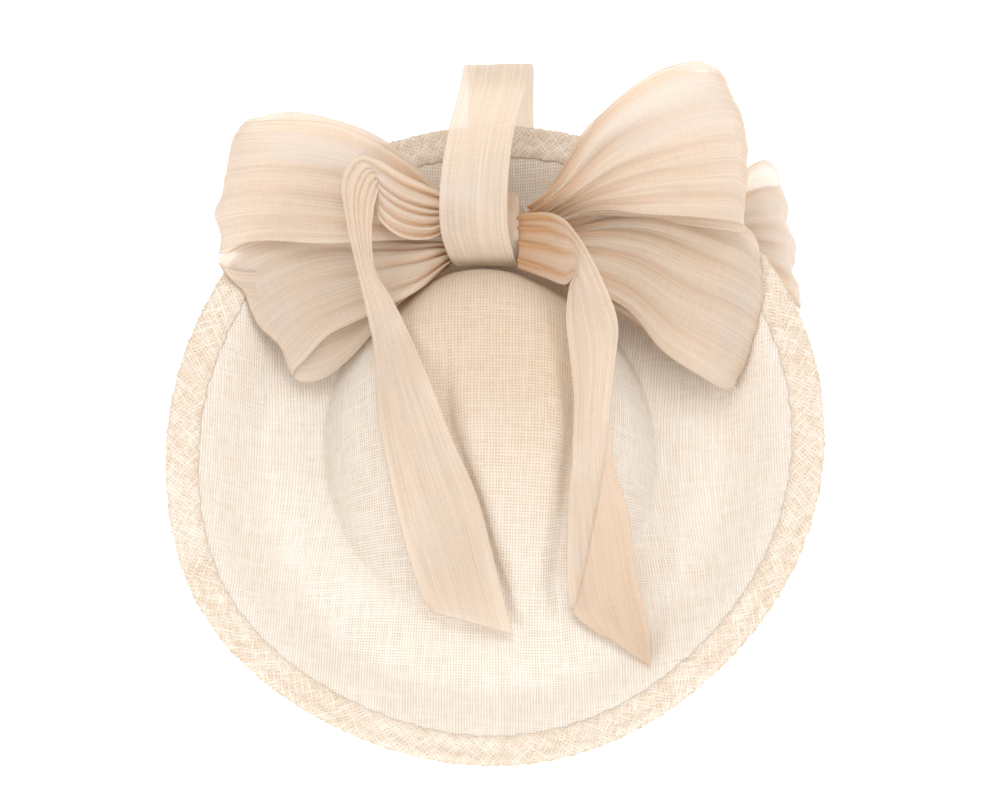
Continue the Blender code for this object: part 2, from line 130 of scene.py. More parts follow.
def grid_normals(points, closed):
    """Unit normals of a grid of points, pointing up the columns' left side."""
    down = np.gradient(points, axis=0)
    if closed:
        across = np.roll(points, -1, axis=1) - np.roll(points, 1, axis=1)
    else:
        across = np.gradient(points, axis=1)
    normal = np.cross(down, across)
    return normal / np.maximum(np.linalg.norm(normal, axis=-1, keepdims=True), 1e-9)


def grid_piece(name, points, uv, closed=False, fold=None):
    """A mesh over a grid of points in millimetres, with the cloth's own coordinates in metres as its UVs."""
    rows, columns = points.shape[:2]
    i = np.arange(rows - 1)
    j = np.arange(columns if closed else columns - 1)
    i, j = np.meshgrid(i, j, indexing="ij")
    k = i + 1
    m = (j + 1) % columns
    corners = [i * columns + j, i * columns + m, k * columns + m, k * columns + j]
    faces = np.stack(corners, axis=-1).reshape(-1, 4)
    mesh = bpy.data.meshes.new(name)
    mesh.vertices.add(rows * columns)
    mesh.vertices.foreach_set("co", (points * MM).astype(np.float32).ravel())
    mesh.loops.add(faces.size)
    mesh.loops.foreach_set("vertex_index", faces.astype(np.int32).ravel())
    mesh.polygons.add(len(faces))
    mesh.polygons.foreach_set("loop_start", np.arange(0, faces.size, 4, dtype=np.int32))
    mesh.polygons.foreach_set("loop_total", np.full(len(faces), 4, dtype=np.int32))
    mesh.update(calc_edges=True)
    mesh.validate()
    layer = mesh.uv_layers.new(name="cloth")
    layer.data.foreach_set("uv", (uv.reshape(-1, 2)[faces.ravel()] * MM).astype(np.float32).ravel())
    # The second UV layer carries painted shade and painted light for the ribbon material.
    if fold is not None:
        depth = mesh.uv_layers.new(name="fold")
        depth.data.foreach_set("uv", fold.reshape(-1, 2)[faces.ravel()].astype(np.float32).ravel())
    mesh.shade_smooth()
    piece = bpy.data.objects.new(name, mesh)
    SCENE.collection.objects.link(piece)
    return piece


def thicken(piece, thickness, offset=0.0):
    shell = piece.modifiers.new("thickness", "SOLIDIFY")
    shell.thickness = thickness * MM
    shell.offset = offset
    return piece


# ---------------------------------------------------------------- shader arithmetic


class Value:
    """A shader socket that takes part in Python arithmetic, one Math node per operation."""

    def __init__(self, shade, socket):
        self.shade = shade
        self.socket = socket

    def math(self, operation, *others, swap=False):
        terms = [self, *others]
        if swap:
            terms = terms[::-1]
        return self.shade.node("ShaderNodeMath", {"operation": operation}, dict(enumerate(terms)))

    def __add__(self, other):
        return self.math("ADD", other)

    def __radd__(self, other):
        return self.math("ADD", other, swap=True)

    def __sub__(self, other):
        return self.math("SUBTRACT", other)

    def __rsub__(self, other):
        return self.math("SUBTRACT", other, swap=True)

    def __mul__(self, other):
        return self.math("MULTIPLY", other)

    def __rmul__(self, other):
        return self.math("MULTIPLY", other, swap=True)

    def __truediv__(self, other):
        return self.math("DIVIDE", other)

    def __rtruediv__(self, other):
        return self.math("DIVIDE", other, swap=True)

    def __pow__(self, other):
        return self.math("POWER", other)

    def __neg__(self):
        return self.math("MULTIPLY", -1.0)

    def __abs__(self):
        return self.math("ABSOLUTE")


class Shade:
    """A material built node by node, ending in one Principled surface."""

    def __init__(self, name):
        self.material = bpy.data.materials.new(name)
        self.material.use_nodes = True
        self.tree = self.material.node_tree
        self.tree.nodes.clear()

    def node(self, kind, settings=None, sockets=None, out=0):
        """Any node: its settings first, then the values or links of its sockets."""
        node = self.tree.nodes.new(kind)
        for key, value in (settings or {}).items():
            if key == "stops":
                ramp = node.color_ramp
                while len(ramp.elements) < len(value):
                    ramp.elements.new(0.5)
                for element, (position, colour) in zip(ramp.elements, value):
                    element.position = position
                    element.color = (*colour, 1.0)
            else:
                setattr(node, key, value)
        for key, value in (sockets or {}).items():
            if isinstance(value, Value):
                self.tree.links.new(value.socket, node.inputs[key])
            else:
                node.inputs[key].default_value = value
        return Value(self, node.outputs[out])

    def cloth_uv(self):
        """The cloth's own coordinates in metres: across the piece and along it."""
        place = self.node("ShaderNodeUVMap", {"uv_map": "cloth"})
        parts = self.tree.nodes.new("ShaderNodeSeparateXYZ")
        self.tree.links.new(place.socket, parts.inputs[0])
        return Value(self, parts.outputs[0]), Value(self, parts.outputs[1])

    def painted_shade_and_light(self):
        """Painted shade in the gathers, near the knot and beside the flap, and painted light where light shows
        through the ribbon and at the loops' tips, each 0 to 1.
        """
        place = self.node("ShaderNodeUVMap", {"uv_map": "fold"})
        parts = self.tree.nodes.new("ShaderNodeSeparateXYZ")
        self.tree.links.new(place.socket, parts.inputs[0])
        return Value(self, parts.outputs[0]), Value(self, parts.outputs[1])

    def vector(self, x, y, z=0.0):
        return self.node("ShaderNodeCombineXYZ", None, {0: x, 1: y, 2: z})

    def noise(self, vector, scale, detail=2.0, roughness=0.5):
        return self.node("ShaderNodeTexNoise", None,
                         {"Vector": vector, "Scale": scale, "Detail": detail, "Roughness": roughness})

    def colours(self, factor, low, high):
        return self.node("ShaderNodeMix", {"data_type": "RGBA"}, {0: factor, 6: low, 7: high}, out=2)

    def tinted(self, factor, base, tint):
        return self.node("ShaderNodeMix", {"data_type": "RGBA", "blend_type": "MULTIPLY"},
                         {0: factor, 6: base, 7: tint}, out=2)

    def spread(self, value, low, high, new_low=0.0, new_high=1.0):
        return self.node("ShaderNodeMapRange", {"interpolation_type": "SMOOTHSTEP"},
                         {0: value, 1: low, 2: high, 3: new_low, 4: new_high})

    def bump(self, height, distance, strength=1.0):
        sockets = {"Height": height, "Distance": distance, "Strength": strength}
        return self.node("ShaderNodeBump", None, sockets)

    def surface(self, sockets):
        shader = self.node("ShaderNodeBsdfPrincipled", None, sockets)
        return shader

    def finish(self, shader):
        output = self.tree.nodes.new("ShaderNodeOutputMaterial")
        self.tree.links.new(shader.socket, output.inputs[0])
        return self.material


def colour(red, green, blue):
    """A colour in everyday 0 to 255 values, made linear for the shader."""
    def linear(value):
        value /= 255.0
        return value / 12.92 if value <= 0.04045 else ((value + 0.055) / 1.055) ** 2.4
    return (linear(red), linear(green), linear(blue), 1.0)


def thin_cloth(shade, principled, light, dark, share):
    """Part of the light passes through the cloth and comes out beyond it in the cloth's middle colour."""
    middle = tuple(0.5 * (a + b) for a, b in zip(light, dark))
    through = shade.node("ShaderNodeBsdfTranslucent", None, {"Color": middle})
    return shade.node("ShaderNodeMixShader", None, {0: share, 1: principled, 2: through})


# ---------------------------------------------------------------- materials


def weave(shade, u, v, pitch, cover, waver):
    """Plain weave: how much thread covers a place, how high it stands, and how bright its thread is."""
    drift = shade.noise(shade.vector(u * 70.0, v * 70.0), 1.0, 2.0)
    drift_2 = shade.noise(shade.vector(v * 70.0 + 7.3, u * 70.0), 1.0, 2.0)
    a = u / pitch + (drift - 0.5) * waver
    b = v / pitch + (drift_2 - 0.5) * waver
    warp_index = a.math("FLOOR")
    weft_index = b.math("FLOOR")
    warp_tone = shade.noise(shade.vector(warp_index * 3.7, v * 45.0), 1.0, 2.0, 0.7)
    weft_tone = shade.noise(shade.vector(weft_index * 3.7 + 91.0, u * 45.0), 1.0, 2.0, 0.7)
    warp_off = abs(a - warp_index - 0.5) * 2.0
    weft_off = abs(b - weft_index - 0.5) * 2.0
    warp = shade.spread(cover + 0.1 + (warp_tone - 0.5) * 1.3 - warp_off, -0.22, 0.22)
    weft = shade.spread(cover - 0.02 + (weft_tone - 0.5) * 1.6 - weft_off, -0.22, 0.22)
    over = ((warp_index + weft_index) * 0.5).math("FRACT") * 4.0 - 1.0
    warp_height = warp * (0.6 + over * 0.35)
    weft_height = weft * (0.6 - over * 0.35)
    height = warp_height.math("MAXIMUM", weft_height)
    top = shade.spread(warp_height - weft_height, -0.1, 0.1)
    tone = warp_tone * top + weft_tone * (1.0 - top)
    return warp.math("MAXIMUM", weft), height, tone


def sinamay_material(name, light, dark, gap_shade, cover=0.5, pitch=0.0016, ply_shift=0.0, through=0.3, bias=False,
                     haze=0.62, gap_shade_share=0.42):
    """Blocked sinamay: plain weave with small open holes, each thread with its own width and tone, with painted
    shade in the holes and, off the bias, over the top and back of the crown.
    """
    shade = Shade(name)
    u, v = shade.cloth_uv()
    place_u, place_v = u, v
    if bias:
        u, v = (u + v) * 0.7071, (u - v) * 0.7071
    share, height, tone = weave(shade, u + ply_shift, v + ply_shift * 0.7, pitch, cover, 0.6)
    if bias:
        under_u = place_u * 0.90 + place_v * 0.44
        under_v = place_u * 0.44 - place_v * 0.90
        under_share, under_height, under_tone = weave(shade, under_u, under_v, pitch * 1.15, cover, 1.2)
        tone = tone * share + under_tone * (1.0 - share)
        height = height.math("MAXIMUM", under_height * 0.5)
        share = share.math("MAXIMUM", under_share * 0.85)
    fibre = shade.noise(shade.vector(u * 900.0, v * 900.0), 1.0, 2.0)
    mottle = shade.noise(shade.vector(u * 16.0, v * 16.0), 1.0, 2.0)
    mixed = shade.spread(tone * 0.8 + fibre * 0.15 + mottle * 0.2, 0.44, 0.70)
    base = shade.colours(mixed, dark, light)
    # Painted shade: the cloth is tinted darker over the top and back of the crown, standing in for the shade
    # that falls there.
    if not bias:
        crown_top_painted_shade = shade.spread(abs(place_u), 0.085, 0.03) * shade.spread(place_v, -0.14, 0.04)
        crown_top_painted_shade = crown_top_painted_shade * shade.spread(place_v, 0.16, 0.12)
        base = shade.tinted(crown_top_painted_shade, base, CROWN_PAINTED_SHADE)
    # Painted shade: where no thread covers, the colour turns to the darker gap tone, standing in for the shade
    # seen through the openings.
    open_share = (1.0 - share) * (mottle * 1.4 + 0.1)
    base = shade.colours(open_share * gap_shade_share, base, gap_shade)
    principled = shade.surface({
        "Base Color": base,
        "Roughness": 0.45 + fibre * 0.2,
        "Specular IOR Level": 0.5,
        "Normal": shade.bump(height, 0.0003, 0.4),
    })
    cloth = thin_cloth(shade, principled, light, dark, through)
    clear = shade.node("ShaderNodeBsdfTransparent")
    cover_share = share * (1.0 - haze) + haze
    return shade.finish(shade.node("ShaderNodeMixShader", None, {0: cover_share, 1: clear, 2: cloth}))


def ribbon_material(name, light, dark, painted_fold_shade, painted_light_colour, clear_share=0.37):
    """Silk abaca: fine lengthwise fibres with a satin sheen, thin enough to see through a little; its satin
    highlights, the light showing through and the shade in the gathers are painted into the colour.
    """
    shade = Shade(name)
    u, v = shade.cloth_uv()
    fold, painted_light = shade.painted_shade_and_light()
    hair = shade.noise(shade.vector(u * 4200.0, v * 24.0), 1.0, 2.0, 0.6)
    fine = shade.noise(shade.vector(u * 1700.0 + 3.0, v * 12.0), 1.0, 2.0, 0.6)
    broad = shade.noise(shade.vector(u * 330.0 + 5.0, v * 7.0), 1.0, 2.0)
    weft = shade.noise(shade.vector(u * 90.0, v * 1500.0), 1.0, 1.0)
    painted_highlight_noise = shade.noise(shade.vector(u * 16.0 + 2.0, v * 34.0), 1.0, 2.0, 0.4)
    streak = hair * 0.35 + fine * 0.38 + broad * 0.15 + weft * 0.12
    tone = shade.spread(streak, 0.34, 0.66)
    base = shade.colours(tone, dark, light)
    # Painted highlight: paler satin patches across the fibres; the colour also turns paler where painted light
    # marks the light showing through and the loops' tips.
    painted_satin_highlight = shade.spread(painted_highlight_noise + (hair - 0.5) * 0.35, 0.48, 0.72)
    base = shade.colours((painted_satin_highlight * 0.45 + painted_light).math("MINIMUM", 0.95), base, painted_light_colour)
    # Painted shade: the colour darkens in the gathers, near the knot and beside the flap.
    base = shade.colours(fold, base, painted_fold_shade)
    principled = shade.surface({
        "Base Color": base,
        "Roughness": 0.38 - painted_satin_highlight * 0.12 + fine * 0.1,
        "Specular IOR Level": 0.7,
        "Sheen Weight": 0.1,
        "Sheen Roughness": 0.4,
        "Normal": shade.bump(hair * 0.5 + fine * 0.5, 0.0003, 0.35),
    })
    shader = thin_cloth(shade, principled, light, dark, 0.35)
    opaque = shade.spread(streak, 0.30, 0.70, 1.0 - clear_share * 1.25, 1.0 - clear_share * 0.75)
    opaque = opaque + fold * 0.25 - painted_light * 0.15
    clear = shade.node("ShaderNodeBsdfTransparent")
    shader = shade.node("ShaderNodeMixShader", None, {0: opaque, 1: clear, 2: shader})
    return shade.finish(shader)


def plain_cloth_material(name, light, dark, rib=0.0011):
    """Petersham: close crosswise ribs."""
    shade = Shade(name)
    place = shade.node("ShaderNodeTexCoord", out=3)
    speckle = shade.noise(place, 900.0, 2.0)
    ribs = shade.node("ShaderNodeTexWave", {"wave_type": "BANDS", "bands_direction": "DIAGONAL"},
                      {"Vector": place, "Scale": 0.3 / rib, "Distortion": 0.4})
    base = shade.colours(speckle * 0.5 + ribs * 0.5, dark, light)
    return shade.finish(shade.surface({
        "Base Color": base, "Roughness": 0.8, "Normal": shade.bump(ribs, 0.0003, 0.6)}))


def metal_material(name):
    shade = Shade(name)
    place = shade.node("ShaderNodeTexCoord", out=3)
    draw_marks = shade.noise(place, 700.0, 3.0)
    base = shade.colours(draw_marks, colour(165, 165, 162), colour(215, 214, 210))
    return shade.finish(shade.surface({
        "Base Color": base, "Metallic": 1.0, "Roughness": 0.28 + draw_marks * 0.2,
        "Normal": shade.bump(draw_marks, 0.0001, 0.3)}))


def comb_material(name):
    shade = Shade(name)
    place = shade.node("ShaderNodeTexCoord", out=3)
    cloud = shade.noise(place, 90.0, 3.0)
    base = shade.colours(cloud, colour(214, 205, 184), colour(238, 232, 218))
    return shade.finish(shade.surface({
        "Base Color": base, "Roughness": 0.18 + cloud * 0.1, "Coat Weight": 0.3,
        "Normal": shade.bump(cloud, 0.0002, 0.15)}))


def thread_material(name, low, high):
    shade = Shade(name)
    place = shade.node("ShaderNodeTexCoord", out=3)
    sockets = {"Vector": place, "Scale": 500.0}
    twist = shade.node("ShaderNodeTexWave", {"bands_direction": "DIAGONAL"}, sockets)
    base = shade.colours(twist, low, high)
    return shade.finish(shade.surface({
        "Base Color": base, "Roughness": 0.6, "Normal": shade.bump(twist, 0.0002, 0.5)}))


CREAM = colour(248, 242, 234)
CREAM_DARK = colour(244, 233, 219)
# Painted shade colour for the openings of the weave.
CREAM_GAP_SHADE = colour(237, 222, 204)
# Painted shade colour for the top and back of the crown.
CROWN_PAINTED_SHADE = colour(232, 218, 202)
SINAMAY = sinamay_material("sinamay", CREAM, CREAM_DARK, CREAM_GAP_SHADE)
LINING = sinamay_material("sinamay lining", CREAM, CREAM_DARK, CREAM_GAP_SHADE, ply_shift=0.0007)
# The third colour is painted shade for the openings of the bias weave.
BIAS = sinamay_material("bias sinamay", colour(250, 242, 230), colour(232, 212, 188), colour(224, 200, 172),
                        cover=0.40, pitch=0.0017, bias=True, haze=0.68, gap_shade_share=0.5)
# The third colour is painted shade for the gathers, the fourth painted light for highlights and light showing
# through.
SILK = ribbon_material("silk abaca", colour(243, 230, 215), colour(224, 204, 180), colour(204, 158, 112),
                       colour(231, 225, 219))
# A darker, warmer copy of the silk for the knot: painted shade for the knot that sits in the loops' shade.
SILK_PAINTED_SHADE = ribbon_material("silk abaca with painted shade in the knot", colour(236, 214, 190), colour(212, 184, 154),
                            colour(196, 148, 104), colour(231, 225, 219), clear_share=0.2)
PETERSHAM = plain_cloth_material("petersham", colour(240, 230, 212), colour(222, 208, 184))
STEEL = metal_material("wire")
PLASTIC = comb_material("comb plastic")
THREAD = thread_material("thread", colour(232, 220, 196), colour(250, 244, 230))
FRAY = thread_material("loose sinamay thread", colour(206, 186, 160), colour(238, 224, 204))

# ---------------------------------------------------------------- plate


def plate_grid():
    """The middle surface of the blocked plate as rings of points, its normals, and its cloth coordinates."""
    angle = np.linspace(0.0, math.tau, PLATE_AROUND, endpoint=False)
    shares = np.linspace(0.0, 1.0, CROWN_STEPS + 1)[1:] ** 0.9
    shares = np.concatenate([[0.0], shares])
    crown = crown_surface(angle[None, :], shares[:, None])
    steps = np.linspace(0.0, 1.0, BRIM_STEPS + 1)[1:]
    brim = brim_surface(np.repeat(angle[None, :], len(steps), 0), np.repeat(steps[:, None], PLATE_AROUND, 1))
    points = np.concatenate([crown, brim], axis=0)
    points[0] = points[0].mean(axis=0)
    normals = grid_normals(points, True)
    normals[0] = normals[1].mean(axis=0) / np.linalg.norm(normals[1].mean(axis=0))
    spans = np.linalg.norm(np.diff(points, axis=0), axis=-1)
    reach = np.concatenate([np.zeros((1, PLATE_AROUND)), np.cumsum(spans, axis=0)], axis=0)
    flat = points[..., :2] / np.maximum(np.linalg.norm(points[..., :2], axis=-1, keepdims=True), 1e-6)
    uv = flat * reach[..., None]
    return points, normals, uv


PLATE_POINTS, PLATE_NORMALS, PLATE_UV = plate_grid()


def close_centre(piece):
    """Joins the innermost ring, which is one place, into one vertex."""
    mesh = bmesh.new()
    mesh.from_mesh(piece.data)
    bmesh.ops.remove_doubles(mesh, verts=mesh.verts[:], dist=1e-7)
    mesh.to_mesh(piece.data)
    mesh.free()
    return piece


def ply(name, side, material, node):
    points = PLATE_POINTS + PLATE_NORMALS * side * 0.5
    piece = thicken(close_centre(grid_piece(name, points, PLATE_UV, closed=True)), 0.35)
    piece.data.materials.append(material)
    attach(piece, "hat")
    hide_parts(node)
    return piece


outer = ply("outer_sinamay", 1.0, SINAMAY, "outer_ply")
inner = ply("inner_sinamay", -1.0, LINING, "inner_ply")

# ---------------------------------------------------------------- rim binding

BINDING_AROUND = 900
BINDING_GAP = 1.1
BINDING_ROLL = 1.9
BINDING_HEM = 11.0
BINDING_JOIN = 80.0    # degrees; the strip's ends meet under the bow


def binding_grid():
    """A bias strip folded over the brim's edge: rows around the rim, columns from upper hem to lower."""
    angle = math.radians(BINDING_JOIN) + np.linspace(0.0, math.tau, BINDING_AROUND, endpoint=False)
    edge = brim_surface(angle, np.ones_like(angle))
    inside = brim_surface(angle, np.full_like(angle, 0.985))
    crease = crown_surface(angle, np.ones_like(angle))
    outward = edge - inside
    outward /= np.linalg.norm(outward, axis=-1, keepdims=True)
    brim_length = np.linalg.norm(edge[:, :2] - crease[:, :2], axis=-1)
    around = np.roll(edge, -1, axis=0) - np.roll(edge, 1, axis=0)
    up = np.cross(outward, around)
    up /= np.linalg.norm(up, axis=-1, keepdims=True)
    upper = np.linspace(BINDING_WIDTH, BINDING_ROLL, 20)
    turn = np.linspace(90.0, -90.0, 9)[1:-1]
    columns = []
    for side, distances in ((1.0, upper), (0.0, turn), (-1.0, upper[::-1])):
        for value in distances:
            if side == 0.0:
                reach = BINDING_FOLD - BINDING_ROLL + BINDING_ROLL * math.cos(math.radians(value))
                point = edge + outward * reach + up * BINDING_ROLL * math.sin(math.radians(value))
            else:
                share = np.minimum(1.0 - (value - BINDING_FOLD) / brim_length, 1.0)
                past = max(BINDING_FOLD - value, 0.0)
                swell = float(smooth_step(7.0, 2.0, value)) * (BINDING_ROLL - BINDING_GAP)
                hem = 0.35 * float(smooth_step(BINDING_HEM - 1.0, BINDING_HEM + 0.6, value))
                settle = 0.45 * float(smooth_step(BINDING_WIDTH - 2.5, BINDING_WIDTH, value))
                lift = BINDING_GAP + swell + hem - settle
                point = brim_surface(angle, share) + outward * past + up * lift * side
            columns.append(point)
    points = np.stack(columns, axis=1)
    wobble = 0.35 * np.sin(angle * 61.0) + 0.3 * np.sin(angle * 97.0 + 1.0)
    wobble = wobble + 0.25 * np.sin(angle * 173.0 + 2.0)
    share = np.abs(np.linspace(-1.0, 1.0, points.shape[1]))
    hem_share = smooth_step(0.8, 1.0, share)
    points += outward[:, None, :] * wobble[:, None, None] * (0.2 + 0.4 * hem_share[None, :, None])
    spans = np.linalg.norm(np.diff(points, axis=1), axis=-1).mean(axis=0)
    across = np.concatenate([[0.0], np.cumsum(spans)])
    run = np.linalg.norm(np.roll(edge, -1, axis=0) - edge, axis=-1)
    along = np.concatenate([[0.0], np.cumsum(run)])[:-1]
    points = np.concatenate([points, points[:1]])
    along = np.append(along, run.sum())
    uv = np.stack(np.broadcast_arrays(along[:, None], across[None, :]), axis=-1)
    return points, uv


def place_on_hat(piece, material, node):
    piece.data.materials.append(material)
    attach(piece, "hat")
    if node:
        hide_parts(node)
    return piece



def tube_piece(name, paths, radius, sides=4):
    """One mesh of thin threads; every path has the same number of points."""
    paths = np.asarray(paths)
    along = np.gradient(paths, axis=1)
    along /= np.linalg.norm(along, axis=-1, keepdims=True)
    side = np.cross(along, (0.0, 0.0, 1.0))
    side /= np.maximum(np.linalg.norm(side, axis=-1, keepdims=True), 1e-6)
    up = np.cross(side, along)
    turn = np.linspace(0.0, math.tau, sides, endpoint=False)
    ring = side[:, :, None] * np.cos(turn)[:, None] + up[:, :, None] * np.sin(turn)[:, None]
    points = (paths[:, :, None] + ring * radius).reshape(-1, 3) * MM
    steps = paths.shape[1]
    faces = []
    for first in range(0, len(paths) * steps * sides, steps * sides):
        for k in range(steps - 1):
            low = first + k * sides
            for m in range(sides):
                n = (m + 1) % sides
                faces.append((low + m, low + n, low + sides + n, low + sides + m))
        faces.append(tuple(first + m for m in range(sides - 1, -1, -1)))
        faces.append(tuple(first + (steps - 1) * sides + m for m in range(sides)))
    mesh = bpy.data.meshes.new(name)
    mesh.from_pydata(points.tolist(), [], faces)
    mesh.shade_smooth()
    piece = bpy.data.objects.new(name, mesh)
    SCENE.collection.objects.link(piece)
    return piece


def fray_paths(points, count, seed):
    """Small loops of thread standing out from the fold of the binding."""
    draw = np.random.default_rng(seed)
    fold = points[:-1, points.shape[1] // 2]
    inside = points[:-1, points.shape[1] // 2 - 6]
    outward = fold - inside
    outward /= np.linalg.norm(outward, axis=-1, keepdims=True)
    paths = []
    for _ in range(count):
        start = draw.uniform(0.0, len(fold))
        reach = draw.uniform(0.5, 1.7)
        length = draw.uniform(1.2, 3.2) * draw.choice((-1.0, 1.0))
        lift = draw.uniform(-1.5, 1.5)
        path = []
        for w in np.linspace(0.0, 1.0, 7):
            row = int(start + length * w) % len(fold)
            stand = reach * math.sin(math.pi * w) - 0.5
            path.append(fold[row] + outward[row] * stand + np.array((0.0, 0.0, lift * (1.0 - 1.6 * w))))
        paths.append(path)
    return through_rows(paths)


def through_rows(paths):
    """Soften each path with a three-point average, keeping its ends."""
    paths = np.asarray(paths)
    middle = (paths[:, :-2] + 2.0 * paths[:, 1:-1] + paths[:, 2:]) / 4.0
    return np.concatenate([paths[:, :1], middle, paths[:, -1:]], axis=1)


BINDING_POINTS, BINDING_UV = binding_grid()
fray = place_on_hat(tube_piece("binding_fray", fray_paths(BINDING_POINTS, 1100, 4), 0.16), FRAY, None)
binding = thicken(grid_piece("bias_binding", BINDING_POINTS, BINDING_UV), 0.3)
place_on_hat(binding, BIAS, "rim_binding")

# ---------------------------------------------------------------- ribbons

RIBBON_THICK = 0.25
STEPS_PER_STATION = 18

CENTRE_LOOP = (
    ((-17, 85, 41), (14, 85, 41)), ((-21, 86, 51), (12, 86, 51)), ((-25, 97, 61), (9, 97, 61)),
    ((-25, 118, 68), (9, 118, 69)), ((-21, 142, 77), (12, 142, 78)), ((-15, 165, 82), (18, 165, 83)),
    ((-13, 181, 73), (20, 181, 74)), ((-11, 187, 57), (22, 187, 57)), ((-11, 185, 38), (22, 185, 38)),
    ((-11, 180, 22), (22, 180, 22)), ((-11, 170, 12), (22, 170, 12)), ((-11, 160, 8), (22, 160, 8)))
LEFT_UPPER = (
    ((-20, 114, 49), (-20, 97, 47)), ((-40, 133, 58), (-49, 95, 49)), ((-72, 152, 62), (-82, 94, 47)),
    ((-100, 158, 59), (-114, 98, 43)), ((-118, 160, 53), (-134, 95, 41)), ((-124, 162, 46), (-137, 93, 38)),
    ((-117, 169, 39), (-129, 96, 34)), ((-95, 173, 37), (-102, 102, 33)), ((-59, 160, 40), (-70, 106, 34)),
    ((-35, 138, 42), (-44, 106, 35)), ((-20, 117, 42), (-20, 100, 40)))
LEFT_LOWER = (
    ((-20, 97, 43), (-20, 86, 42)), ((-38, 99, 44), (-33, 67, 57)), ((-62, 106, 38), (-50, 56, 58)),
    ((-88, 110, 35), (-68, 54, 40)), ((-112, 104, 35), (-82, 51, 29)), ((-129, 97, 36), (-93, 41, 22)),
    ((-136, 90, 36), (-97, 37, 17)), ((-126, 86, 33), (-93, 34, 14)), ((-104, 88, 28), (-83, 34, 17)),
    ((-80, 90, 22), (-68, 40, 31)), ((-54, 94, 23), (-50, 52, 51)), ((-38, 94, 27), (-36, 66, 51)),
    ((-20, 96, 34), (-20, 88, 34)))
LEFT_TAIL = (
    ((-16, 114, 57), (-16, 102, 57)), ((-29, 119, 60), (-29, 94, 54)), ((-44, 124, 66), (-44, 92, 59)),
    ((-56, 129, 72), (-56, 101, 64)), ((-67, 130, 74), (-55, 114, 70)), ((-74, 119, 70), (-58, 103, 70)),
    ((-72, 99, 66), (-59, 87, 66)), ((-67, 75, 63), (-57, 71, 64)), ((-62, 52, 61), (-50, 58, 64)),
    ((-58, 32, 54), (-42, 41, 63)), ((-56, 0, 52), (-30, 10, 66)), ((-51, -29, 47), (-19, -17, 56)),
    ((-43, -61, 31), (-6, -43, 41)), ((-35, -82, 16), (3, -72, 21)), ((-30, -90, 9), (12, -104, 10)))
RIGHT_TAIL = (
    ((13.5, 108, 54), (13.5, 79, 52)), ((27, 106, 60), (28, 72, 54)), ((35, 101, 65), (37, 67, 57)),
    ((41, 94, 67), (41, 68, 63)), ((49, 81, 67), (39.5, 61, 67)), ((58, 62, 65), (38, 44, 67)),
    ((64, 43, 62), (40, 23, 64)), ((62, 20, 58), (42, 2, 60)), ((60, -3, 54), (42, -18, 54)),
    ((61, -23, 49), (41, -36, 47)), ((64, -36, 45), (39, -50, 33)), ((69, -50, 38), (38, -67, 22)),
    ((73, -78, 26), (39, -85, 12)), ((79, -104, 18), (43, -93, 9)), ((80, -125, 19), (54, -102, 9)))
RIGHT_UPPER = (
    ((20, 114, 49), (20, 98, 49)), ((34, 124, 60), (50, 108, 57)), ((55, 152, 76), (80, 102, 65)),
    ((80, 171, 82), (110, 101, 63)), ((101, 181, 77), (127, 102, 57)), ((112, 181, 69), (131, 99, 51)),
    ((108, 184, 59), (126, 100, 47)), ((85, 184, 55), (105, 105, 46)), ((50, 160, 50), (75, 110, 46)),
    ((30, 127, 45), (45, 109, 46)), ((20, 116, 43), (20, 100, 43)))
RIGHT_LOWER = (
    ((20, 97, 43), (20, 86, 41)), ((50, 113, 44), (42, 74, 45)), ((80, 119, 43), (68, 62, 38)),
    ((108, 116, 41), (86, 41, 33)), ((126, 110, 39), (109, 26, 30)), ((133, 100, 38), (120, 24, 22)),
    ((128, 92, 34), (119, 30, 14)), ((105, 93, 34), (95, 46, 14)), ((75, 95, 33), (71, 62, 24)),
    ((48, 94, 35), (46, 74, 33)), ((20, 96, 36), (20, 88, 34)))
RIGHT_BACK = (
    ((98, 132, 14), (110, 98, 11)), ((120, 142, 20), (133, 92, 17)), ((137, 150, 28), (149, 80, 21)),
    ((146, 144, 30), (154, 74, 19)), ((147, 138, 24), (155, 74, 14)), ((140, 140, 18), (148, 82, 11)),
    ((122, 138, 12), (131, 92, 8)), ((99, 128, 8), (109, 100, 6)))


def through_points(points, steps):
    """A smooth line through a row of points (Catmull-Rom), with the same number of steps in each span."""
    points = np.asarray(points, dtype=float)
    padded = np.concatenate([[2 * points[0] - points[1]], points, [2 * points[-1] - points[-2]]])
    t = np.linspace(0.0, 1.0, steps, endpoint=False)[:, None]
    spans = []
    for a, b, c, d in zip(padded, padded[1:], padded[2:], padded[3:]):
        bend = (2 * a - 5 * b + 4 * c - d) * t**2
        twist = (3 * b - a - 3 * c + d) * t**3
        spans.append(0.5 * (2 * b + (c - a) * t + bend + twist))
    return np.concatenate([*spans, points[-1:]])


def ripple(s, t, seed, across=7.0, along=0.085):
    """Slow waves, long with the ribbon and short across it, about -1 to 1."""
    draw = np.random.default_rng(seed)
    total = 0.0
    for _ in range(6):
        a = draw.uniform(0.2, 1.0) * along
        b = draw.uniform(0.3, 1.0) * across * draw.choice((-1.0, 1.0))
        total = total + np.sin(a * s + b * t + draw.uniform(0.0, math.tau))
    return total / 3.0


def gathers(t, count, phase, seed):
    """Round crests with sharp valleys between them, unevenly spaced across the ribbon."""
    t = t + 0.045 * np.sin(7.0 * t + seed) + 0.02 * np.sin(17.0 * t + 2.0 * seed)
    return np.sqrt(np.sin(math.pi * (count * t + phase)) ** 2 + 0.015) - 0.6


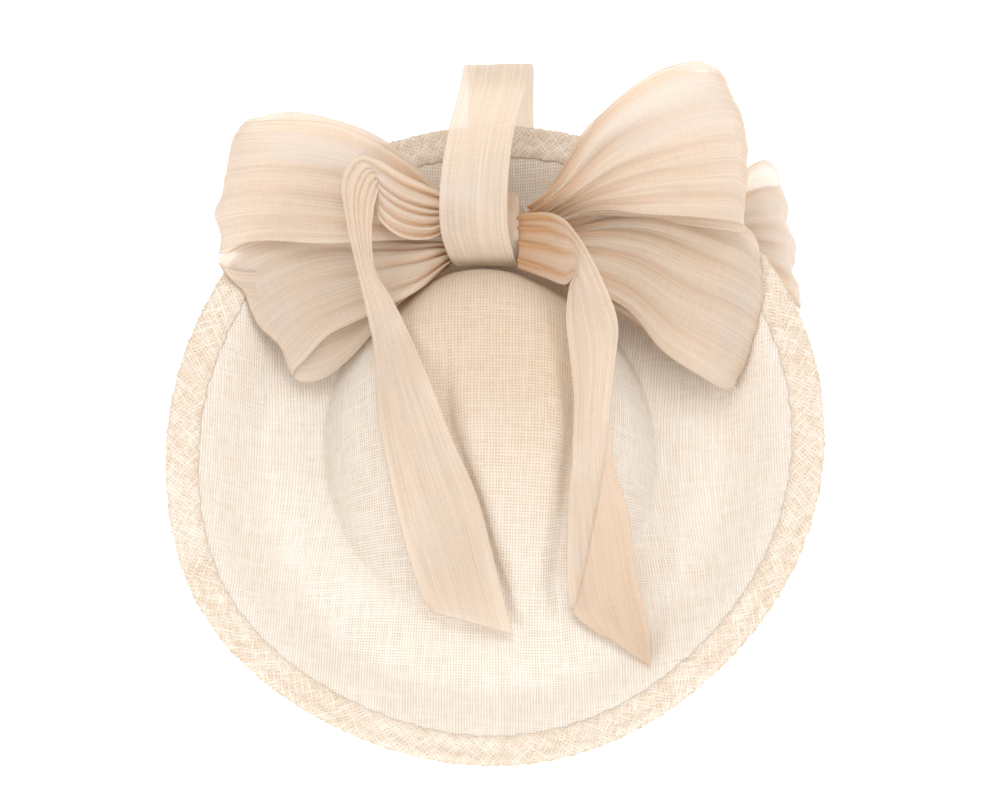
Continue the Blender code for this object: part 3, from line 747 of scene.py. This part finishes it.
def width_square_to_run(points):
    """The widest section across a strip, leaving out what a slanted row adds along the run."""
    run = np.gradient(points[:, points.shape[1] // 2], axis=0)
    run = run / np.linalg.norm(run, axis=-1, keepdims=True)
    steps = np.diff(points, axis=1)
    along = (steps * run[:, None, :]).sum(axis=-1)
    across = np.sqrt(np.maximum((steps**2).sum(axis=-1) - along**2, 0.0))
    return across.sum(axis=1).max()


def ribbon_grid(stations, columns=56, camber=0.0, count=0, near=0.0, decay=30.0, far=0.0, wave=0.6, seed=1,
                both=True, tip=0.0, flap=None, window=None,
                belly=0.0, shaded=0.0):
    """A ribbon lofted through its edge pairs, gathered at the knot and rippled along its length."""
    edge_a = through_points([a for a, b in stations], STEPS_PER_STATION)
    edge_b = through_points([b for a, b in stations], STEPS_PER_STATION)
    t = np.linspace(0.0, 1.0, columns)
    points = edge_a[:, None, :] * (1.0 - t)[None, :, None] + edge_b[:, None, :] * t[None, :, None]
    normals = grid_normals(points, False)
    middle = points[:, columns // 2]
    run = np.concatenate([[0.0], np.cumsum(np.linalg.norm(np.diff(middle, axis=0), axis=-1))])
    length = run[-1]
    s = run[:, None] + 0.0 * t[None, :]
    tt = t[None, :] + 0.0 * s
    from_end = np.minimum(s, length - s) if both else s
    lift = camber * (1.0 - (2.0 * tt - 1.0) ** 2)
    settle = smooth_step(0.0, 12.0, from_end)
    lift = lift + wave * ripple(s, tt, seed) * settle
    lift = lift + 0.12 * wave * ripple(s, tt, seed + 50, 26.0, 0.06) * settle
    # Painted shade near the start of the ribbon, where it leaves the knot.
    fold = shaded * np.exp(-((s / 26.0) ** 2))
    if count:
        near_depth = np.exp(-from_end / decay)
        far_depth = np.exp(-(((s - length * 0.3) / (length * 0.25)) ** 2))
        crest = gathers(tt, count, 0.2 * seed, seed)
        lift = lift + (near * near_depth + far * far_depth) * crest
        # Painted shade deep in the gathers near the knot.
        painted_fold_shade = np.clip(0.25 - crest, 0.0, 0.7) * near_depth * 1.6 + 0.3 * near_depth**2
        fold = fold + painted_fold_shade * min(near / 3.0, 1.0)
    if flap:
        first, last, height = flap
        station = np.linspace(0.0, len(stations) - 1.0, len(run))[:, None]
        crease = (station - first) / (last - first)
        step = smooth_step(crease - 0.03, crease + 0.03, tt) * smooth_step(first - 1.5, first, station)
        lift = lift + height * step
        # Painted shade on the part beside the flap's step.
        fold = fold + 0.28 * (1.0 - step) * smooth_step(first, first + 1.0, station)
    points = points + normals * lift[..., None]
    if tip:
        outward = points[len(points) // 2].mean(axis=0) - points[0].mean(axis=0)
        outward = outward / np.linalg.norm(outward)
        strength = np.exp(-(((s - length * 0.5) / 16.0) ** 2))
        swell = belly * np.exp(-(((s - length * 0.5) / 34.0) ** 2)) * np.sin(math.pi * tt**0.75)
        points = points + outward * swell[..., None]
        points = points + outward * (strength * tip * ripple(s, tt, seed + 9, 22.0))[..., None]
    width = width_square_to_run(points)
    uv = np.stack([tt * width, s], axis=-1)
    painted_light = np.zeros_like(s)
    # Painted light: paler where light from behind shows through the ribbon; the same mark also makes the cloth
    # a little more see-through.
    if window:
        first, last, low, high = window
        inside = smooth_step(first, first + 0.08, s / length) * smooth_step(last, last - 0.08, s / length)
        inside = inside * smooth_step(low, low + 0.06, tt) * smooth_step(high, high - 0.12, tt)
        painted_light = 0.75 * inside
    # Painted highlight along the loop's tip.
    if tip:
        painted_light = painted_light + 0.5 * np.exp(-(((s - length * 0.46) / 7.0) ** 2))
    painted_marks = np.clip(np.stack([fold, painted_light], axis=-1), 0.0, 1.0)
    return points, uv, painted_marks, width, length


def ribbon(name, node, stations, held="gathered", **shape):
    """One ribbon; the size of a plain strip as wide as its widest section and as long as its middle is worked
    out for it.
    """
    points, uv, fold, width, length = ribbon_grid(stations, **shape)
    piece = thicken(grid_piece(name, points, uv, fold=fold), RIBBON_THICK)
    place_on_hat(piece, SILK, node)
    flat = (round(width * MM, 3), round(length * MM, 3))
    return piece


ribbon("silk_left_upper_loop", "left_upper_loop", LEFT_UPPER,
       count=4, near=5.0, decay=40.0, far=0.4, wave=2.0, seed=3, tip=1.4,
       window=(0.16, 0.46, 0.07, 0.42), belly=4.0)
ribbon("silk_left_lower_loop", "left_lower_loop", LEFT_LOWER,
       count=4, near=4.0, decay=36.0, far=0.5, wave=1.6, seed=5, tip=1.6)
ribbon("silk_right_upper_loop", "right_upper_loop", RIGHT_UPPER,
       count=5, near=6.0, decay=48.0, far=0.4, wave=2.1, seed=8, tip=1.4,
       window=(0.2, 0.5, 0.05, 0.48), belly=7.0)
ribbon("silk_right_lower_loop", "right_lower_loop", RIGHT_LOWER,
       count=5, near=6.4, decay=56.0, far=0.5, wave=1.8, seed=11, tip=1.4,
       belly=7.0)
ribbon("silk_right_back_loop", "right_back_loop", RIGHT_BACK,
       count=5, near=4.0, decay=30.0, far=0.6, wave=0.9, seed=14, tip=1.5, window=(0.1, 0.9, 0.0, 0.9))
ribbon("silk_centre_loop", "centre_loop", CENTRE_LOOP, held="folded",
       wave=0.35, seed=17, columns=40)
ribbon("silk_left_tail", "left_tail", LEFT_TAIL, held="folded",
       camber=2.5, wave=0.4, seed=21, count=5, near=4.5, decay=50.0, both=False, columns=56)
ribbon("silk_right_tail", "right_tail", RIGHT_TAIL, held="folded",
       camber=2.5, wave=0.4, seed=24, count=4, near=3.0, decay=40.0, both=False, columns=60,
       flap=(8.2, 12.6, 2.6), shaded=0.5)

# ---------------------------------------------------------------- knot and base


KNOT_CENTRE = (0.0, 107.0, 40.0)
BASE_CENTRE = (0.0, 102.0, 16.0)
BASE_HALF = (17.0, 9.0)
BASE_TILT = -35.0
HEAD_RIBBON_INSET = 2.1


def knot_grid(centre, half, across_rows, roll, count, depth, seed):
    """A band or pod turned about the X axis, gathered lengthwise."""
    across = np.linspace(-1.0, 1.0, across_rows)
    around = np.linspace(0.0, math.tau, 120, endpoint=False)
    fullness = np.clip(1.0 - np.abs(across) ** roll, 0.0, 1.0) ** (1.0 / roll)
    fullness = np.maximum(fullness, 0.08)
    a, w = np.meshgrid(across, around, indexing="ij")
    swell = 1.0 + depth * (gathers(a * 0.5 + 0.5, count, 0.1, seed) + 0.3 * np.sin(3.0 * w + 4.0 * a))
    radius = fullness[:, None] * swell
    x = centre[0] + half[0] * a
    y = centre[1] + half[1] * radius * np.cos(w)
    z = centre[2] + half[2] * radius * np.sin(w)
    uv = np.stack([half[0] * a, half[1] * w], axis=-1)
    return np.stack([x, y, z], axis=-1), uv


def base_grid():
    """An oval patch under the bow, tilted to lie along the back of the crown."""
    tilt = math.radians(BASE_TILT)
    r = np.linspace(0.02, 1.0, 24)[:, None]
    w = np.linspace(0.0, math.tau, 96, endpoint=False)[None, :]
    u = BASE_HALF[0] * r * np.cos(w)
    v = BASE_HALF[1] * r * np.sin(w)
    z = 0.3 * np.cos(2.0 * w) * r
    y2 = v * math.cos(tilt) - z * math.sin(tilt)
    z2 = v * math.sin(tilt) + z * math.cos(tilt)
    points = np.stack([u + BASE_CENTRE[0], y2 + BASE_CENTRE[1], z2 + BASE_CENTRE[2]], axis=-1)
    return points, np.stack([u, v], axis=-1)


points, uv = knot_grid(KNOT_CENTRE, (19.0, 16.5, 11.5), 60, 2.6, 5, 0.05, 2.0)
place_on_hat(grid_piece("silk_knot_core", points, uv, closed=True), SILK_PAINTED_SHADE, "knot_core")
points, uv = knot_grid(KNOT_CENTRE, (15.5, 18.0, 14.0), 50, 9.0, 4, 0.045, 4.0)
wrap = thicken(grid_piece("silk_knot_wrap", points, uv, closed=True), 0.3)
place_on_hat(wrap, SILK_PAINTED_SHADE, "knot_wrap")
points, uv = base_grid()
base_patch = thicken(grid_piece("sinamay_bow_base", points, uv, closed=True), 1.2)
place_on_hat(base_patch, LINING, "bow_base")


def head_ribbon_grid():
    """The band inside the crown: up from the plane the hat stands on, then along the inside of the cloth."""
    angle = np.linspace(0.0, math.tau, 240, endpoint=False)
    shares = np.linspace(0.965, 0.85, 10)
    crown = crown_surface(angle[None, :], shares[:, None])
    rows = crown + grid_normals(crown, True) * HEAD_RIBBON_INSET
    foot = rows[:1] * np.array((1.0, 1.0, 0.0))
    points = np.concatenate([foot, rows])
    up = np.linalg.norm(np.diff(points, axis=0), axis=-1).mean(axis=1)
    rise = np.concatenate([[0.0], np.cumsum(up)])
    run = angle * (HEAD_HALF_WIDTH + HEAD_HALF_LENGTH) / 2.0
    uv = np.stack(np.broadcast_arrays(run[None, :], rise[:, None]), axis=-1)
    return points, uv, rise[-1]


points, uv, band_width = head_ribbon_grid()
head_band = thicken(grid_piece("petersham_head_ribbon", points, uv, closed=True), 0.8)
place_on_hat(head_band, PETERSHAM, "head_ribbon")

# ---------------------------------------------------------------- CAD nodes that stay

NODE_MATERIALS = {
    "rim_wire": STEEL,
    "wire_joiner": STEEL,
    "hair_comb": PLASTIC,
    "elastic_loop_left": THREAD,
    "elastic_loop_right": THREAD,
}
for node_name, material in NODE_MATERIALS.items():
    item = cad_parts[node_name]
    item.data.materials.clear()
    item.data.materials.append(material)

# ---------------------------------------------------------------- floor, light and camera


def add_floor():
    bpy.ops.mesh.primitive_plane_add(size=6.0, location=(0.0, 0.0, -0.0005))
    floor = bpy.context.object
    floor.name = "floor"
    shade = Shade("pale floor")
    place = shade.node("ShaderNodeTexCoord", out=3)
    tone = shade.noise(place, 3.0, 2.0)
    base = shade.colours(tone, (0.93, 0.93, 0.93, 1.0), (0.96, 0.96, 0.96, 1.0))
    floor.data.materials.append(shade.finish(shade.surface({"Base Color": base, "Roughness": 0.9,
                                                            "Emission Color": base, "Emission Strength": 0.5})))


def add_light(name, place, target, size, power, tint=(1.0, 1.0, 1.0)):
    data = bpy.data.lights.new(name, "AREA")
    data.size = size
    data.energy = power
    data.color = tint
    lamp = bpy.data.objects.new(name, data)
    lamp.location = place
    lamp.rotation_euler = (Vector(target) - Vector(place)).to_track_quat("-Z", "Y").to_euler()
    SCENE.collection.objects.link(lamp)


def add_camera():
    elevation = math.radians(65.0)
    target = Vector((0.005, 0.016, 0.030))
    distance = 9.0
    data = bpy.data.cameras.new("camera")
    data.sensor_width = 36.0
    data.lens = 36.0 * distance / 0.5
    data.clip_end = 60.0
    camera = bpy.data.objects.new("camera", data)
    camera.location = target + Vector((0.0, -math.cos(elevation), math.sin(elevation))) * distance
    camera.rotation_euler = (target - camera.location).to_track_quat("-Z", "Y").to_euler()
    SCENE.collection.objects.link(camera)
    SCENE.camera = camera


add_floor()
add_light("key", (-0.8, -1.1, 0.9), (0.0, 0.0, 0.03), 0.7, 9.5)
add_light("fill", (1.2, -0.6, 1.0), (0.0, 0.0, 0.03), 1.0, 7.5)
add_light("top", (0.1, 0.4, 1.7), (0.0, 0.0, 0.03), 1.2, 11.5)
add_camera()

world = bpy.data.worlds.new("studio")
world.use_nodes = True
world.node_tree.nodes["Background"].inputs[0].default_value = (1.0, 1.0, 1.0, 1.0)
world.node_tree.nodes["Background"].inputs[1].default_value = 0.8
SCENE.world = world
SCENE.view_settings.view_transform = "Standard"
